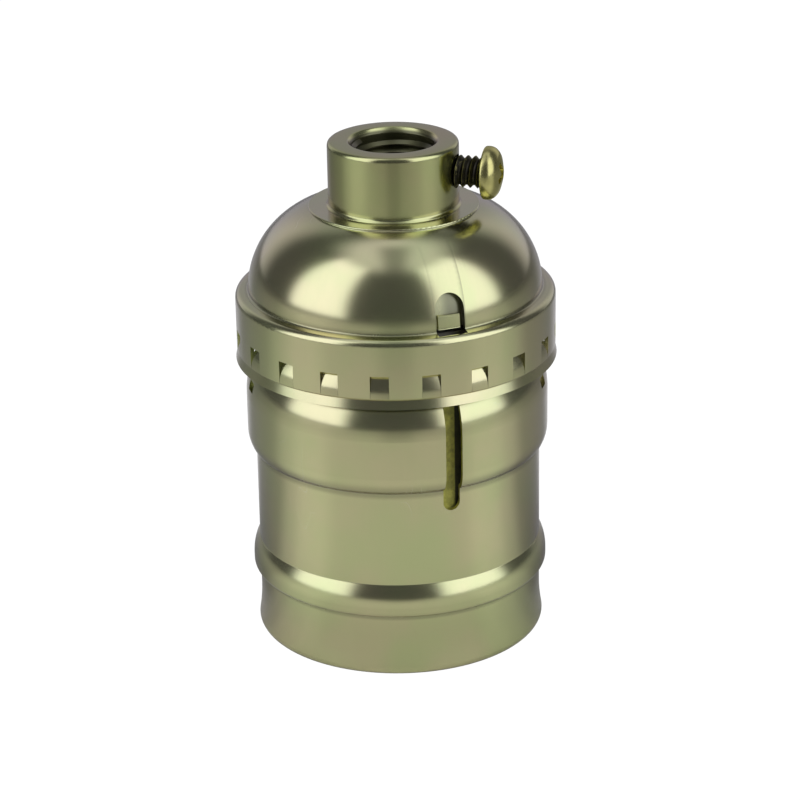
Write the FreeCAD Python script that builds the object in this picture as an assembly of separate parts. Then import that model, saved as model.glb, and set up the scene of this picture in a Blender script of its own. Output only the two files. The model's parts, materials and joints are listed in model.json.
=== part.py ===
"""Medium-base (E27) lamp holder with a drawn aluminium shell and a push-on cap.

It stands mouth down: +Z is up, the axis is Z, and the rim of the shell lies in z = 0.
Azimuths run from the front (-Y) towards +X. All lengths are in millimetres.
"""
import FreeCAD, Part
import math
import os
from FreeCAD import Vector

# ---- Outer shell: one drawn sheet. ----
shell_wall = 0.5
shell_height = 42.9
lower_barrel_radius = 17.55
hem_projection = 0.35
hem_curl_radius = 0.8
flare_angle = 10.0
bead_height = 7.6
bead_projection = 0.8
bead_land = 0.7
bead_nose_radius = 0.55
bead_flank_angle = 72.0
bead_crown_radius = 5.2
bead_crown_angle = 30.0
bead_crease_radius = 0.35
step_projection = 1.0
step_nose_radius = 1.0
step_nose_angle = 34.0
step_belly_radius = 3.75
step_belly_angle = 26.0
upper_barrel_height = 7.2
shell_neck_height = 11.9
shell_neck_depth = 1.3
shell_neck_radius_in = 8.0
shell_neck_radius_out = 1.2
shell_neck_angle = 30.0
slot_azimuth_angle = 21.0
slot_width = 2.1
slot_length = 21.6
detent_above_barrel = 1.9
detent_width = 2.0
detent_height = 1.2
detent_push = 0.45
detent_azimuth_angle = 75.5

# ---- Cap: one drawn sheet with a skirt that grips the shell's neck. ----
cap_wall = 0.5
lip_height = 1.3
lip_flare = 0.15
lip_recess = 0.15
lip_bend = 0.2
skirt_height = 7.65
shell_in_skirt = 7.3
shoulder_radius = 0.8
shoulder_width = 1.6
shoulder_angle = 80.0
crease_radius = 0.3
crease_angle = 78.0
dome_radius = 10.6
pad_width = 2.5
pad_rise = 0.35
pad_round = 0.12
tab_count = 20
tab_width = 2.3
tab_height = 2.8
tab_bend_radius = 4.68
tab_bend_angle = 34.0
tab_kerf = 0.06
lug_width = 3.6
lug_height = 4.3
lug_push = 0.95
lug_slit_height = 1.3
tongue_width = 2.7
tongue_height = 1.65
tongue_rise = 0.45

# ---- Neck bushing: turned, staked into the cap. ----
bore_radius = 4.5
neck_wall = 3.4
neck_height = 7.9
neck_foot = 0.3
neck_round = 0.55
bore_chamfer = 0.95
spigot_wall = 1.9
stake_width = 1.0
stake_height = 0.6
screw_drop = 3.4

# ---- Locking screw: M4 pan head, in the side of the neck. ----
locking_azimuth_angle = 75.0
locking_shank_radius = 1.95
locking_head_radius = 3.2
locking_head_height = 2.25
locking_head_band = 1.0
locking_standoff = 3.3
recess_width = 0.75
recess_span = 3.3
recess_depth = 1.3
recess_angle = 30.0

# ---- Insulating sleeve and porcelain block. ----
sleeve_wall = 0.4
block_skirt_height = 8.8
block_flange_height = 7.0
block_rim_chamfer = 0.7
block_rim_height = 1.9
boss_radius = 6.2
boss_drop = 1.2
chamber_wall = 2.2
chamber_depth = 7.6
rib_thickness = 3.0
rib_height = 5.2

# ---- Screw shell: rolled E27 thread. ----
thread_pitch = 3.629
thread_major_radius = 13.3
thread_minor_radius = 12.25
thread_lead = 1.8
screw_shell_wall = 0.35
screw_shell_mouth = 3.6
thread_rows_per_turn = 6
thread_columns = 16
floor_opening_radius = 6.7

# ---- Contact and terminals. ----
contact_thickness = 0.4
contact_width = 6.0
contact_drop = 3.0
contact_heel = 2.15
contact_bend_margin = 0.25
contact_tip = 3.2
contact_land = 1.6
contact_curl = 0.8
terminal_thickness = 0.8
terminal_width = 8.2
terminal_inner = 2.2
terminal_inset = 0.8
terminal_stop_height = 2.6
neutral_wing = 8.4
terminal_screw_inset = 4.2
terminal_screw_radius = 1.7
terminal_screw_length = 4.6
terminal_head_radius = 3.2
terminal_head_height = 2.0
terminal_head_round = 0.5
terminal_slot_width = 0.8
terminal_slot_depth = 1.0
washer_thickness = 0.5
shell_rivet_x = 7.0
shell_rivet_y = -6.4
rivet_radius = 1.0
rivet_head_radius = 1.4
rivet_head_height = 0.7

# ---- Clearances. ----
tab_clearance = 0.95
sleeve_clearance = 0.15
block_clearance = 0.25
notch_clearance = 0.6
hole_clearance = 0.1
seat_clearance = 0.05
level_tolerance = 1e-4

# ---- Places that follow from the sizes above. Heights are above the rim. ----
hem_radius = lower_barrel_radius + hem_projection
upper_barrel_radius = lower_barrel_radius + step_projection
upper_barrel_top = shell_height - shell_neck_height
step_height = upper_barrel_top - upper_barrel_height
shell_neck_radius = upper_barrel_radius - shell_neck_depth
slot_bottom = shell_height - slot_length
detent_middle = upper_barrel_top + detent_above_barrel
sleeve_outer = shell_neck_radius - shell_wall - sleeve_clearance
sleeve_inner = sleeve_outer - sleeve_wall
mouth_radius = sleeve_inner
tab_reach = tab_bend_radius * (1 - math.cos(math.radians(tab_bend_angle)))
cap_radius = shell_neck_radius + tab_clearance + tab_reach + cap_wall
lip_bottom = shell_height - shell_in_skirt
skirt_top = lip_bottom + skirt_height
tab_bottom = lip_bottom + lip_height
lug_bottom = skirt_top + shoulder_radius + crease_radius
neck_radius = bore_radius + neck_wall
pad_radius = neck_radius + pad_width
spigot_radius = bore_radius + spigot_wall
stake_radius = spigot_radius + stake_width
block_rim_top = shell_height + block_clearance / 2 + block_rim_height + block_rim_chamfer
block_flange_top = block_rim_top - block_rim_height - block_rim_chamfer
sleeve_top = block_flange_top - block_flange_height
block_bottom = sleeve_top - block_skirt_height
block_radius = sleeve_inner - block_clearance
block_flange_radius = shell_neck_radius - shell_wall - block_clearance
block_rim_radius = block_flange_radius - block_rim_chamfer
chamber_radius = block_rim_radius - chamber_wall
chamber_floor = block_rim_top - chamber_depth
boss_bottom = block_bottom - boss_drop
thread_top = block_bottom - screw_shell_wall
rivet_well_floor = chamber_floor - 2 * rivet_head_height
terminal_screw_x = chamber_radius - terminal_screw_inset
terminal_outer = chamber_radius - terminal_inset
contact_rivet_x = -(rib_thickness / 2 + terminal_screw_x - terminal_head_radius) / 2
contact_root = contact_rivet_x - contact_heel
contact_bend = contact_rivet_x + rivet_head_radius + contact_bend_margin
plate_top = chamber_floor + terminal_thickness
head_seat = plate_top + washer_thickness + seat_clearance
tab_pitch = 360.0 / tab_count
AXIS = Vector(0, 0, 1)
ORIGIN = Vector(0, 0, 0)


class Pen:
    """Draws an outline of lines and tangent arcs in the XZ half plane.

    A heading of 0 points outwards (+X) and 90 points up. A positive turn is to the left,
    which is towards the axis when the pen is heading up.
    """

    def __init__(self, radius, height, heading):
        self.radius = radius
        self.height = height
        self.heading = heading
        self.edges = []

    def point(self):
        return Vector(self.radius, 0, self.height)

    def line_to(self, radius, height):
        start = self.point()
        self.radius, self.height = radius, height
        if start.distanceToPoint(self.point()) > 1e-6:
            self.edges.append(Part.LineSegment(start, self.point()).toShape())

    def line(self, length):
        angle = math.radians(self.heading)
        self.line_to(self.radius + length * math.cos(angle), self.height + length * math.sin(angle))

    def rise_to(self, height):
        self.line((height - self.height) / math.sin(math.radians(self.heading)))

    def turn(self, arc_radius, degrees):
        side = 1 if degrees > 0 else -1
        heading = math.radians(self.heading)
        centre_r = self.radius - side * arc_radius * math.sin(heading)
        centre_z = self.height + side * arc_radius * math.cos(heading)

        def on_arc(turned):
            angle = heading + math.radians(turned)
            return Vector(centre_r + side * arc_radius * math.sin(angle), 0,
                          centre_z - side * arc_radius * math.cos(angle))

        start, middle, end = self.point(), on_arc(degrees / 2), on_arc(degrees)
        self.edges.append(Part.Arc(start, middle, end).toShape())
        self.radius, self.height = end.x, end.z
        self.heading += degrees

    def turn_to_radius(self, arc_radius, radius):
        """Turn left until the outline has come in to the given radius."""
        sine = math.sin(math.radians(self.heading)) + (radius - self.radius) / arc_radius
        self.turn(arc_radius, 180 - math.degrees(math.asin(sine)) - self.heading)

    def jog(self, shift, away, back):
        """Leave the vertical by one arc and come back by others, `shift` further out or in.

        `away` is (radius, degrees) and `back` a list of the same; a straight run between
        them makes up the rest of the shift.
        """
        side = -1 if shift > 0 else 1
        arc_radius, angle = away
        used = arc_radius * (1 - math.cos(math.radians(angle)))
        left = angle
        for back_radius, back_angle in back:
            used += back_radius * (math.cos(math.radians(left - back_angle)) - math.cos(math.radians(left)))
            left -= back_angle
        self.turn(arc_radius, side * angle)
        self.line((abs(shift) - used) / math.sin(math.radians(angle)))
        for back_radius, back_angle in back:
            self.turn(back_radius, -side * back_angle)

    def wire(self):
        return Part.Wire(self.edges)


def revolve(face, degrees=360):
    return face.revolve(ORIGIN, AXIS, degrees)


def wall_section(outline, wall):
    """The section of a drawn sheet: the outline is its outer face, and the wall grows towards the axis."""
    reach = outline.BoundBox.XMax + wall / 2
    for side in (wall, -wall):
        section = outline.makeOffset2D(side, join=0, fill=True, openResult=True)
        if section.BoundBox.XMax < reach:
            return redrawn(section.OuterWire)
    raise ValueError("the sheet has no inner side")


def redrawn(wire):
    """The face inside a wire, with each arc drawn again from its ends and its middle.

    The arcs of an offset can start past a full turn, and a cut passes through a face
    revolved from such an arc without meeting it.
    """
    corners = [vertex.Point for vertex in wire.OrderedVertexes]
    edges = []
    for edge, start, end in zip(wire.OrderedEdges, corners, corners[1:] + corners[:1]):
        if isinstance(edge.Curve, Part.Circle):
            middle = edge.valueAt((edge.FirstParameter + edge.LastParameter) / 2)
            edges.append(Part.Arc(start, middle, end).toShape())
        else:
            edges.append(Part.makeLine(start, end))
    return Part.Face(Part.Wire(edges))


def turned(points):
    """A turned solid from the corners (radius, height) of its half section."""
    corners = [Vector(radius, 0, height) for radius, height in points]
    return revolve(Part.Face(Part.makePolygon(corners + corners[:1])))


def ring(inner, outer, bottom, top):
    return turned([(inner, bottom), (outer, bottom), (outer, top), (inner, top)])


def post(radius, bottom, top, x=0.0, y=0.0):
    return Part.makeCylinder(radius, top - bottom, Vector(x, y, bottom), AXIS)


def block(x0, x1, y0, y1, z0, z1):
    return Part.makeBox(x1 - x0, y1 - y0, z1 - z0, Vector(x0, y0, z0))


def at_azimuth(shape, azimuth):
    """Swing a shape that was made along +X round to an azimuth from the front."""
    swung = shape.copy()
    swung.rotate(ORIGIN, AXIS, azimuth - 90)
    return swung


def sector(section, width, azimuth):
    """A half section swept about the axis over an arc that is `width` long at its outer edge."""
    degrees = math.degrees(width / section.BoundBox.XMax)
    return at_azimuth(revolve(section, degrees), azimuth - degrees / 2)


def slab(inner, outer, bottom, top):
    """A rectangular half section."""
    corners = [Vector(inner, 0, bottom), Vector(outer, 0, bottom),
               Vector(outer, 0, top), Vector(inner, 0, top)]
    return Part.Face(Part.makePolygon(corners + corners[:1]))


# ------------------------------------------------------------------ outer shell
def shell_outline():
    pen = Pen(mouth_radius, 0, 0)
    pen.line(hem_radius - hem_curl_radius - mouth_radius)
    pen.turn(hem_curl_radius, 90 + flare_angle)
    flare_radius = (pen.radius - lower_barrel_radius) / (1 - math.cos(math.radians(flare_angle)))
    pen.turn(flare_radius, -flare_angle)
    pen.rise_to(bead_height)
    pen.jog(bead_projection, (bead_crease_radius, bead_flank_angle),
            [(bead_nose_radius, bead_flank_angle)])
    pen.line(bead_land)
    pen.jog(-bead_projection, (bead_crown_radius, bead_crown_angle),
            [(bead_crease_radius, bead_crown_angle)])
    pen.rise_to(step_height)
    pen.jog(step_projection, (bead_crease_radius, step_nose_angle + step_belly_angle),
            [(step_nose_radius, step_nose_angle), (step_belly_radius, step_belly_angle)])
    pen.rise_to(upper_barrel_top)
    pen.jog(-shell_neck_depth, (shell_neck_radius_in, shell_neck_angle),
            [(shell_neck_radius_out, shell_neck_angle)])
    pen.rise_to(shell_height)
    return pen.wire()


def outer_shell():
    shell = revolve(wall_section(shell_outline(), shell_wall))
    reach = upper_barrel_radius + shell_wall
    slot = block(0, reach, -slot_width / 2, slot_width / 2, slot_bottom + slot_width / 2, shell_height + 1)
    slot_end = Part.makeCylinder(slot_width / 2, reach, Vector(0, 0, slot_bottom + slot_width / 2),
                                 Vector(1, 0, 0))
    shell = shell.cut(at_azimuth(slot.fuse(slot_end), slot_azimuth_angle))
    for azimuth in (detent_azimuth_angle, -detent_azimuth_angle):
        window = sector(slab(shell_neck_radius - shell_wall, reach, detent_middle - detent_height / 2,
                             detent_middle + detent_height / 2), detent_width, azimuth)
        tooth = window.common(shell)
        tooth.translate(at_azimuth(Part.Vertex(Vector(-detent_push, 0, 0)), azimuth).Point)
        shell = shell.cut(window).fuse(tooth)
    return shell


# ------------------------------------------------------------------ cap
def cap_outline():
    pen = Pen(cap_radius + lip_flare, lip_bottom, 90)
    pen.line_to(cap_radius - lip_recess, tab_bottom - lip_bend)
    pen.line_to(cap_radius, tab_bottom)
    pen.rise_to(skirt_top)
    pen.turn(shoulder_radius, shoulder_angle)
    crease_run = crease_radius * (math.sin(math.radians(pen.heading - crease_angle))
                                  - math.sin(math.radians(pen.heading)))
    dome_foot = cap_radius - shoulder_width
    pen.line((pen.radius - crease_run - dome_foot) / -math.cos(math.radians(pen.heading)))
    pen.turn(crease_radius, -crease_angle)
    pen.turn_to_radius(dome_radius, pad_radius)
    dome_top = pen.height
    pen.turn(pad_round, 90 - pen.heading)
    pen.rise_to(dome_top + pad_rise - pad_round)
    pen.turn(pad_round, 90)
    pen.line(pen.radius - spigot_radius - hole_clearance)
    return pen


def window_and_tab(azimuth):
    """One lanced tab of the skirt: the window to cut and the tab that curls in from its sill."""
    across = slab(cap_radius - 2 * cap_wall, cap_radius + cap_wall, tab_bottom, tab_bottom + tab_height)
    window = sector(across, tab_width, azimuth)
    pen = Pen(cap_radius, tab_bottom, 90)
    pen.turn(tab_bend_radius, tab_bend_angle)
    tab = sector(wall_section(pen.wire(), cap_wall), tab_width - 2 * tab_kerf, azimuth)
    return window, tab


def arch(width, height, bottom, reach):
    """A radial prism along +X with straight sides and a round head."""
    straight = height - width / 2
    sides = block(reach / 2, reach, -width / 2, width / 2, bottom, bottom + straight)
    head = Part.makeCylinder(width / 2, reach / 2, Vector(reach / 2, 0, bottom + straight), Vector(1, 0, 0))
    return sides.fuse(head)


def add_lug(cap, outline):
    """Press the key lug into the foot of the dome: an arched pocket above an open slit."""
    outline.line_to(0, outline.height)
    outline.line_to(0, lip_bottom)
    outline.line_to(cap_radius + lip_flare, lip_bottom)
    full = at_azimuth(revolve(Part.Face(outline.wire())), 90 - slot_azimuth_angle)
    floor_face = full.translated(Vector(-lug_push, 0, 0))
    back_face = full.translated(Vector(-lug_push - cap_wall, 0, 0))
    tongue_face = full.translated(Vector(-lug_push + tongue_rise, 0, 0))
    pressed = arch(lug_width + 2 * cap_wall, lug_height + cap_wall, lug_bottom, cap_radius)
    pocket = arch(lug_width, lug_height, lug_bottom, cap_radius)
    tongue = block(cap_radius / 2, cap_radius, -tongue_width / 2, tongue_width / 2,
                   lug_bottom, lug_bottom + tongue_height)
    slit = block(cap_radius / 2, cap_radius - shoulder_radius, -lug_width / 2, lug_width / 2,
                 lug_bottom - lug_slit_height, lug_bottom)
    added = pressed.common(full.translated(Vector(-cap_wall / 2, 0, 0))).cut(back_face)
    removed = pocket.cut(floor_face).cut(tongue.common(tongue_face))
    here = cap.fuse(at_azimuth(added, slot_azimuth_angle))
    return here.cut(at_azimuth(removed, slot_azimuth_angle)).cut(at_azimuth(slit, slot_azimuth_angle))


def cap():
    outline = cap_outline()
    drawn = revolve(wall_section(outline.wire(), cap_wall))
    drawn = add_lug(drawn, outline)
    lanced = [window_and_tab(slot_azimuth_angle + tab_pitch * (index + 0.5)) for index in range(tab_count)]
    drawn = drawn.cut(Part.makeCompound([window for window, _ in lanced]))
    return drawn.fuse([tab for _, tab in lanced]).removeSplitter()


# ------------------------------------------------------------------ neck and its screw
pad_top = cap_outline().height
locking_height = pad_top + neck_height - screw_drop


def neck_bushing():
    top = pad_top + neck_height
    under = pad_top - cap_wall
    neck = turned([
        (bore_radius, under - stake_height), (spigot_radius, under - stake_height),
        (stake_radius, under - stake_height / 2), (stake_radius, under), (spigot_radius, under),
        (spigot_radius, pad_top), (neck_radius + neck_foot, pad_top), (neck_radius, pad_top + neck_foot),
        (neck_radius, top - neck_round), (neck_radius - neck_round / 3, top - neck_round / 3),
        (neck_radius - neck_round, top), (bore_radius + bore_chamfer, top),
        (bore_radius, top - bore_chamfer)])
    screw_hole = Part.makeCylinder(locking_shank_radius + hole_clearance, neck_radius,
                                   Vector(bore_radius / 2, 0, locking_height), Vector(1, 0, 0))
    return neck.cut(at_azimuth(screw_hole, locking_azimuth_angle))


def cross_recess(depth, span, width):
    """A tapered cross, point down, whose mouth is at z = 0."""
    blade = Part.Face(Part.makePolygon([Vector(-span / 2, 0, 0), Vector(span / 2, 0, 0),
                                        Vector(width / 2, 0, -depth), Vector(-width / 2, 0, -depth),
                                        Vector(-span / 2, 0, 0)]))
    blade.translate(Vector(0, -width / 2, 0))
    one = blade.extrude(Vector(0, width, 0))
    other = one.copy()
    other.rotate(ORIGIN, AXIS, 90)
    return one.fuse(other)


def locking_screw():
    tip = bore_radius + seat_clearance
    seat = neck_radius + locking_standoff
    shank_length = seat - tip
    point = locking_shank_radius / 4
    head_top = shank_length + locking_head_height
    pen = Pen(0, 0, 0)
    pen.line_to(locking_shank_radius - point, 0)
    pen.line_to(locking_shank_radius, point)
    pen.line_to(locking_shank_radius, shank_length)
    pen.line_to(locking_head_radius - point / 2, shank_length)
    pen.line_to(locking_head_radius, shank_length + point / 2)
    pen.line_to(locking_head_radius, shank_length + locking_head_band)
    crown_rise = locking_head_height - locking_head_band
    crown_radius = (locking_head_radius ** 2 + crown_rise ** 2) / (2 * crown_rise)
    half_way = math.asin(locking_head_radius / crown_radius) / 2
    crown_middle = Vector(crown_radius * math.sin(half_way), 0,
                          head_top - crown_radius * (1 - math.cos(half_way)))
    pen.edges.append(Part.Arc(pen.point(), crown_middle, Vector(0, 0, head_top)).toShape())
    pen.radius, pen.height = 0, head_top
    pen.line_to(0, 0)
    screw = revolve(Part.Face(pen.wire()))
    recess = cross_recess(recess_depth, recess_span, recess_width)
    recess.rotate(ORIGIN, AXIS, recess_angle)
    recess.translate(Vector(0, 0, head_top))
    screw = screw.cut(recess)
    screw.rotate(ORIGIN, Vector(0, 1, 0), 90)
    screw.translate(Vector(tip, 0, locking_height))
    return at_azimuth(screw, locking_azimuth_angle)


# ------------------------------------------------------------------ insulation
def insulating_sleeve():
    return ring(sleeve_inner, sleeve_outer, shell_wall + seat_clearance, sleeve_top)


def porcelain_block():
    body = turned([
        (0, boss_bottom), (boss_radius, boss_bottom), (boss_radius, block_bottom),
        (block_radius, block_bottom), (block_radius, sleeve_top), (block_flange_radius, sleeve_top),
        (block_flange_radius, block_flange_top), (block_rim_radius, block_flange_top + block_rim_chamfer),
        (block_rim_radius, block_rim_top), (chamber_radius, block_rim_top),
        (chamber_radius, chamber_floor), (0, chamber_floor)])
    rib = block(-rib_thickness / 2, rib_thickness / 2, -chamber_radius, chamber_radius,
                chamber_floor, chamber_floor + rib_height)
    rib = rib.common(post(chamber_radius + notch_clearance, chamber_floor, block_rim_top))
    notch_width = lug_width + 2 * cap_wall + 2 * notch_clearance
    notch_bottom = lug_bottom - crease_radius - notch_clearance
    notch = block(chamber_radius / 2, block_flange_radius + 1, -notch_width / 2, notch_width / 2,
                  notch_bottom, block_rim_top + 1)
    body = body.fuse(rib).cut(at_azimuth(notch, slot_azimuth_angle))
    hole = rivet_radius + hole_clearance
    well = terminal_screw_radius + 2 * hole_clearance
    well_bottom = head_seat - terminal_screw_length - terminal_head_height / 2
    holes = [post(hole, boss_bottom - 1, chamber_floor + 1, contact_rivet_x),
             post(hole, block_bottom - 1, chamber_floor + 1, shell_rivet_x, shell_rivet_y),
             post(hole, block_bottom - 1, chamber_floor + 1, -shell_rivet_x, -shell_rivet_y),
             post(rivet_head_radius + hole_clearance, rivet_well_floor, chamber_floor + 1,
                  -shell_rivet_x, -shell_rivet_y),
             post(well, well_bottom, chamber_floor + 1, terminal_screw_x),
             post(well, well_bottom, chamber_floor + 1, -terminal_screw_x)]
    return body.cut(holes)


# ------------------------------------------------------------------ screw shell
def smooth(value):
    """0 to 1 with level ends."""
    held = min(max(value, 0.0), 1.0)
    return held * held * (3 - 2 * held)


def thread_radius(angle, height):
    """Inner radius of the rolled shell: plain at both ends, a right-hand round thread between."""
    wave = math.cos(2 * math.pi * height / thread_pitch - angle)
    mean = (thread_major_radius + thread_minor_radius) / 2
    rolled = mean + (thread_major_radius - thread_minor_radius) / 2 * wave
    depth = smooth((height - screw_shell_mouth) / thread_lead)
    depth *= smooth((thread_top - height) / thread_lead)
    return thread_major_radius + (rolled - thread_major_radius) * depth


def thread_face(wall):
    """The helical face of a whole turn, set `wall` outside the inner surface."""
    rows = math.ceil((thread_top - screw_shell_mouth) / thread_pitch * thread_rows_per_turn)
    surface = Part.BSplineSurface()
    surface.interpolate([[thread_point(column * 2 * math.pi / thread_columns, row / rows, wall)
                          for row in range(rows + 1)] for column in range(thread_columns + 1)])
    return surface.toShape()


def thread_point(angle, share, wall):
    height = screw_shell_mouth + (thread_top - screw_shell_mouth) * share
    radius = thread_radius(angle, height) + wall
    return Vector(radius * math.cos(angle), radius * math.sin(angle), height)


def rim_at(face, height):
    """The closed edge of a thread face that lies level at a height."""
    for edge in face.Edges:
        if all(abs(point.z - height) < level_tolerance for point in edge.discretize(5)):
            return Part.Wire(edge)
    raise ValueError("no rim at that height")


def threaded_wall():
    """The helical wall as a closed solid: two thread faces and a flat ring at each end."""
    inner, outer = thread_face(0), thread_face(screw_shell_wall)
    rings = [Part.makeFace([rim_at(outer, height), rim_at(inner, height)], "Part::FaceMakerBullseye")
             for height in (screw_shell_mouth, thread_top)]
    skin = Part.Compound([inner, outer] + rings)
    skin.sewShape()
    solid = Part.Solid(skin.Shells[0])
    if solid.Volume < 0:
        solid.reverse()
    return solid


def screw_shell():
    floor_radius = thread_major_radius + screw_shell_wall - seat_clearance
    floor = ring(floor_opening_radius, floor_radius, thread_top, block_bottom)
    hole = rivet_radius + hole_clearance
    holes = [post(hole, thread_top - 1, block_bottom + 1, shell_rivet_x, shell_rivet_y),
             post(hole, thread_top - 1, block_bottom + 1, -shell_rivet_x, -shell_rivet_y)]
    return threaded_wall().fuse(floor.cut(holes))


# ------------------------------------------------------------------ contact and terminals
def centre_contact():
    top = boss_bottom
    low = top - contact_drop
    half = contact_width / 2
    line = [Vector(contact_root, 0, top - contact_thickness / 2),
            Vector(contact_bend, 0, top - contact_thickness / 2),
            Vector(contact_tip - contact_curl - contact_land, 0, low),
            Vector(contact_tip - contact_curl, 0, low), Vector(contact_tip, 0, low + contact_curl)]
    section = Part.makePolygon(line).makeOffset2D(contact_thickness / 2, join=0, fill=False,
                                                  openResult=False)
    leaf = Part.Face(section).extrude(Vector(0, contact_width, 0))
    leaf.translate(Vector(0, -half, 0))
    leaf = leaf.common(block(contact_root - 1, contact_tip + 1, -half, half, low - 1, top))
    return leaf.cut(post(rivet_radius + hole_clearance, low, top + 1, contact_rivet_x))


def terminal_plate(low_y, high_y):
    """A flat plate on the chamber floor, towards +X, with an upturned stop for the wire."""
    plate = block(terminal_inner, terminal_outer, low_y, high_y, chamber_floor, plate_top)
    stop = block(terminal_screw_x - terminal_head_radius, terminal_outer, high_y - terminal_thickness,
                 high_y, plate_top, plate_top + terminal_stop_height)
    tapped = post(terminal_screw_radius + hole_clearance, chamber_floor - 1, plate_top + 1,
                  terminal_screw_x)
    inside = post(chamber_radius - 2 * seat_clearance, chamber_floor, plate_top + terminal_stop_height)
    return plate.fuse(stop).cut(tapped).common(inside)


def turned_about(shape):
    other = shape.copy()
    other.rotate(ORIGIN, AXIS, 180)
    return other


def neutral_terminal():
    plate = terminal_plate(-neutral_wing, terminal_width / 2)
    return plate.cut(post(rivet_radius + hole_clearance, chamber_floor - 1, plate_top + 1,
                          shell_rivet_x, shell_rivet_y))


def live_terminal():
    plate = turned_about(terminal_plate(-terminal_width / 2, terminal_width / 2))
    return plate.cut(post(rivet_radius + hole_clearance, chamber_floor - 1,
                          plate_top + terminal_stop_height + 1, contact_rivet_x))


def terminal_screw():
    """A slotted binding screw, head up, over the neutral side."""
    point = terminal_screw_radius / 4
    bottom = head_seat - terminal_screw_length
    top = head_seat + terminal_head_height
    screw = turned([
        (0, bottom), (terminal_screw_radius - point, bottom), (terminal_screw_radius, bottom + point),
        (terminal_screw_radius, head_seat), (terminal_head_radius, head_seat),
        (terminal_head_radius, top - 2 * terminal_head_round),
        (terminal_head_radius - terminal_head_round, top - terminal_head_round),
        (terminal_head_radius - 3 * terminal_head_round, top), (0, top)])
    slot = block(-terminal_head_radius - 1, terminal_head_radius + 1, -terminal_slot_width / 2,
                 terminal_slot_width / 2, top - terminal_slot_depth, top + 1)
    screw = screw.cut(slot)
    screw.translate(Vector(terminal_screw_x, 0, 0))
    return screw


def clamp_washer():
    washer = ring(terminal_screw_radius + hole_clearance, terminal_head_radius, plate_top,
                  plate_top + washer_thickness)
    washer.translate(Vector(terminal_screw_x, 0, 0))
    return washer


def rivet(x, y, bottom, top):
    """A rivet with a flat head under `bottom` and a domed head over `top`."""
    shank = post(rivet_radius, bottom, top, x, y)
    lower = post(rivet_head_radius, bottom - rivet_head_height, bottom, x, y)
    cone = Part.makeCone(rivet_head_radius, rivet_radius, rivet_head_height, Vector(x, y, top), AXIS)
    return shank.fuse([lower, cone])


def build():
    return {
        "outer_shell": outer_shell(),
        "cap": cap(),
        "neck_bushing": neck_bushing(),
        "locking_screw": locking_screw(),
        "insulating_sleeve": insulating_sleeve(),
        "porcelain_block": porcelain_block(),
        "screw_shell": screw_shell(),
        "centre_contact": centre_contact(),
        "live_terminal": live_terminal(),
        "neutral_terminal": neutral_terminal(),
        "neutral_screw": terminal_screw(),
        "live_screw": turned_about(terminal_screw()),
        "neutral_washer": clamp_washer(),
        "live_washer": turned_about(clamp_washer()),
        "neutral_rivet": rivet(shell_rivet_x, shell_rivet_y, thread_top, plate_top),
        "shell_rivet": rivet(-shell_rivet_x, -shell_rivet_y, thread_top, rivet_well_floor),
        "contact_rivet": rivet(contact_rivet_x, 0, boss_bottom - contact_thickness, plate_top),
    }


os.makedirs("parts", exist_ok=True)
for name, shape in build().items():
    shape.exportStep("parts/" + name + ".step")
    box = shape.BoundBox
    print(name, len(shape.Solids), "solid", shape.isValid(), round(shape.Volume, 1), "mm3,",
          "z", round(box.ZMin, 2), round(box.ZMax, 2), "reach", round(max(box.XMax, box.YMax), 2))
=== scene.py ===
# %% [markdown]
# # A drawn-metal lamp holder
# The holder is a stack of thin pieces: a drawn aluminium shell, a push-on cap, a turned neck with
# a threaded bore, a locking screw, and inside them a fibre sleeve, a porcelain block and the rolled
# screw shell that grips the lamp. The frame already has each piece at its real size. Blender's
# work here is the finish of every surface, the fine threads, and the studio around the object.

# %% The frame
import json
import math

import bmesh
import bpy
from mathutils import Matrix, Vector

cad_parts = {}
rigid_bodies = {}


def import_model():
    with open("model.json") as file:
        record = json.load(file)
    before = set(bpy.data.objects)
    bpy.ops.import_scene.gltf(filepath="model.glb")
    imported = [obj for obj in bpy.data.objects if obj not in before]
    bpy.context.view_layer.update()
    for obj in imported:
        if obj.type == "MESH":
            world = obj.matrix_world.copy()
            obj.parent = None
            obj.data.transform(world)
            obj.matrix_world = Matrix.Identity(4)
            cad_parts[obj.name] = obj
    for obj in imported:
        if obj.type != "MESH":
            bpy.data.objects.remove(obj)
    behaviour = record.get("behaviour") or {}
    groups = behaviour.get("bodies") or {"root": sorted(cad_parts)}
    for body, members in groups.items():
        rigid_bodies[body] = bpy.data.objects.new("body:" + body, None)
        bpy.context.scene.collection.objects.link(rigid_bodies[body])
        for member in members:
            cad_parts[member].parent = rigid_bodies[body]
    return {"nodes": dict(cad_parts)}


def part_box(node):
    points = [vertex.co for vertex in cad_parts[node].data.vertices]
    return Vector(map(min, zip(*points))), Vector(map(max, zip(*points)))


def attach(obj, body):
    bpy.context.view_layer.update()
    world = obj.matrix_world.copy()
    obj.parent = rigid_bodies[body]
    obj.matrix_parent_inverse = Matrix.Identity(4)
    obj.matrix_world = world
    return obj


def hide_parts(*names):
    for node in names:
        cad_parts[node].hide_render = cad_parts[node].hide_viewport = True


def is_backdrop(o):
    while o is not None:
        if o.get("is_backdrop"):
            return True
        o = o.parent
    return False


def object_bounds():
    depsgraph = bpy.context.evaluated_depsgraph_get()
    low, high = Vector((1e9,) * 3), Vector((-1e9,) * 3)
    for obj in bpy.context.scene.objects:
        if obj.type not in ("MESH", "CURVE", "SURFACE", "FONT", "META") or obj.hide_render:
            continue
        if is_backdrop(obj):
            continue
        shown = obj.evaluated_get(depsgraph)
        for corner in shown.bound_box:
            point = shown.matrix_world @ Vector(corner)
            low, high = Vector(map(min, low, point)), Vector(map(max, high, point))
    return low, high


for leftover in list(bpy.data.objects):
    bpy.data.objects.remove(leftover)
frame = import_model()
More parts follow.
